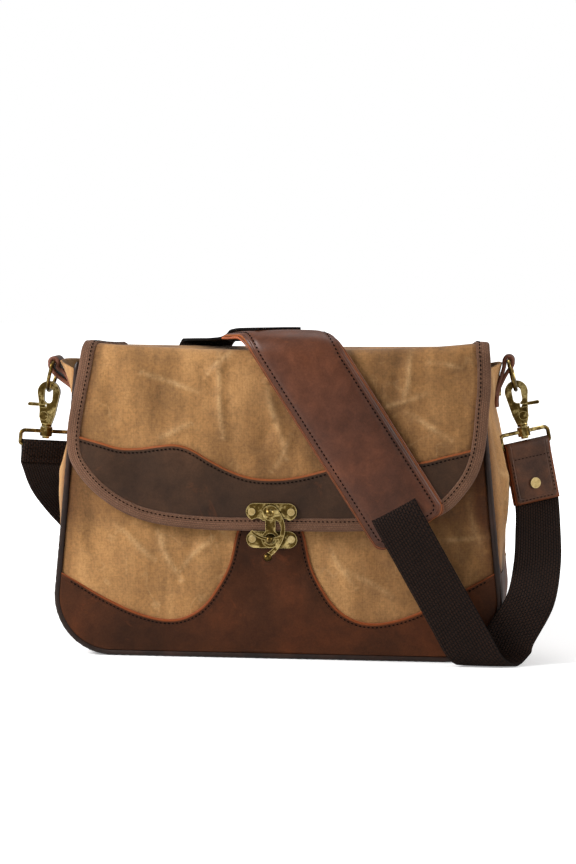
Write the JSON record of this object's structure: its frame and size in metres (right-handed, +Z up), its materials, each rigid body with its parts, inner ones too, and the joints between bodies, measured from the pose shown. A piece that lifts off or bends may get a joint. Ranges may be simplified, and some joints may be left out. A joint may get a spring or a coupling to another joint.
{
  "type": "camera bag",
  "caption": "Soft messenger-style camera bag: waxed canvas flap with leather trim, swing-hook clasp, padded insert and a shoulder strap on swivel hooks.",
  "frame": {"origin": "centre of the flat underside", "axes": "+X to the right seen from the front, +Y to the back, +Z up"},
  "size_m": [0.4413, 0.1748, 0.2635],
  "materials": {
    "canvas": "waxed, matte",
    "base_leather": "satin",
    "piping": "satin",
    "flap_leather": "satin",
    "binding": "ribbed, matte",
    "lining": "matte",
    "pad_leather": "satin",
    "webbing": "woven",
    "strap_leather": "satin",
    "antique_brass": "aged, polished on edges"
  },
  "bodies": {
    "bag": {"front_panel": "canvas", "back_panel": "canvas", "left_gusset": "canvas", "right_gusset": "canvas", "base_gusset": "base_leather", "front_leather_trim": "base_leather", "front_piping": "piping", "back_piping": "piping", "insert_floor": "lining", "insert_front_wall": "lining", "insert_back_wall": "lining", "insert_left_wall": "lining", "insert_right_wall": "lining", "divider_left": "lining", "divider_right": "lining", "left_tab": "strap_leather", "right_tab": "strap_leather", "left_tab_rivets": "antique_brass", "right_tab_rivets": "antique_brass", "lower_clasp_plate": "antique_brass", "lower_clasp_rivets": "antique_brass", "clasp_post": "antique_brass", "front_webbing": "webbing", "rear_webbing": "webbing", "webbing_tail": "webbing"},
    "flap": {"flap_canvas": "canvas", "flap_lining": "lining", "flap_leather_band": "flap_leather", "flap_binding": "binding", "upper_clasp_plate": "antique_brass", "upper_clasp_rivets": "antique_brass", "clasp_pivot_stud": "antique_brass"},
    "swing_hook": {"swing_hook": "antique_brass"},
    "strap_over": {"shoulder_pad_cover": "pad_leather", "shoulder_pad_backing": "lining", "webbing_upper": "webbing", "webbing_lower": "webbing"},
    "slider": {"strap_slider": "antique_brass"},
    "left_ring": {"left_ring": "antique_brass"},
    "left_hook": {"left_hook": "antique_brass", "left_jaw_rivet": "antique_brass"},
    "left_jaw": {"left_jaw": "antique_brass"},
    "right_ring": {"right_ring": "antique_brass"},
    "right_hook": {"right_hook": "antique_brass", "right_jaw_rivet": "antique_brass"},
    "right_jaw": {"right_jaw": "antique_brass"},
    "left_strap_end": {"left_loop": "antique_brass", "left_webbing_end": "webbing"},
    "right_strap_end": {"right_loop": "antique_brass", "right_strap_end_leather": "strap_leather", "right_strap_end_rivet": "antique_brass"}
  },
  "joints": [
    {"name": "flap_open", "type": "hinge", "parent": "bag", "child": "flap", "pos_m": [0, 0.061, 0.24], "axis": [-1, 0, 0], "range_deg": [0, 130]},
    {"name": "strap_lift", "type": "hinge", "parent": "bag", "child": "strap_over", "pos_m": [0, 0.061, 0.24], "axis": [-1, 0, 0], "range_deg": [0, 130], "deforming": ["front_webbing", "rear_webbing"]},
    {"name": "hook_swing", "type": "hinge", "parent": "flap", "child": "swing_hook", "pos_m": [-0.003, -0.0736, 0.1176], "axis": [0, -1, 0], "range_deg": [0, 100]},
    {"name": "slider_slide", "type": "slide", "parent": "bag", "child": "slider", "axis": [-0.3605, -0.1695, 0.9172], "range_m": [-0.015, 0.015], "deforming": ["webbing_tail"]},
    {"name": "right_ring_swing", "type": "hinge", "parent": "bag", "child": "right_ring", "pos_m": [0.1795, 0, 0.234], "axis": [0, -1, 0], "range_deg": [0, 10]},
    {"name": "right_hook_swing", "type": "hinge", "parent": "right_ring", "child": "right_hook", "pos_m": [0.1854, 0, 0.21033], "axis": [0, -1, 0], "range_deg": [0, 10]},
    {"name": "right_jaw_open", "type": "hinge", "parent": "right_hook", "child": "right_jaw", "pos_m": [0.19167, 0, 0.19015], "axis": [0, 1, 0], "range_deg": [0, 28], "stiffness_Nm_per_rad": 0.02, "springref_deg": -20.05},
    {"name": "right_strap_turn", "type": "hinge", "parent": "right_hook", "child": "right_strap_end", "pos_m": [0.1854, 0, 0.21033], "axis": [0.1908, 0, -0.9816], "range_deg": [-90, 90]},
    {"name": "left_ring_swing", "type": "hinge", "parent": "bag", "child": "left_ring", "pos_m": [-0.1885, 0, 0.2305], "axis": [0, 1, 0], "range_deg": [0, 10]},
    {"name": "left_hook_swing", "type": "hinge", "parent": "left_ring", "child": "left_hook", "pos_m": [-0.1944, 0, 0.20683], "axis": [0, 1, 0], "range_deg": [0, 10]},
    {"name": "left_jaw_open", "type": "hinge", "parent": "left_hook", "child": "left_jaw", "pos_m": [-0.19852, 0, 0.1861], "axis": [0, -1, 0], "range_deg": [0, 28], "stiffness_Nm_per_rad": 0.02, "springref_deg": -20.05},
    {"name": "left_strap_turn", "type": "hinge", "parent": "left_hook", "child": "left_strap_end", "pos_m": [-0.1944, 0, 0.20683], "axis": [-0.0872, 0, -0.9962], "range_deg": [-90, 90]}
  ],
  "couplings": [
    {"joint": "strap_lift", "follows": "flap_open", "ratio": 1}
  ]
}
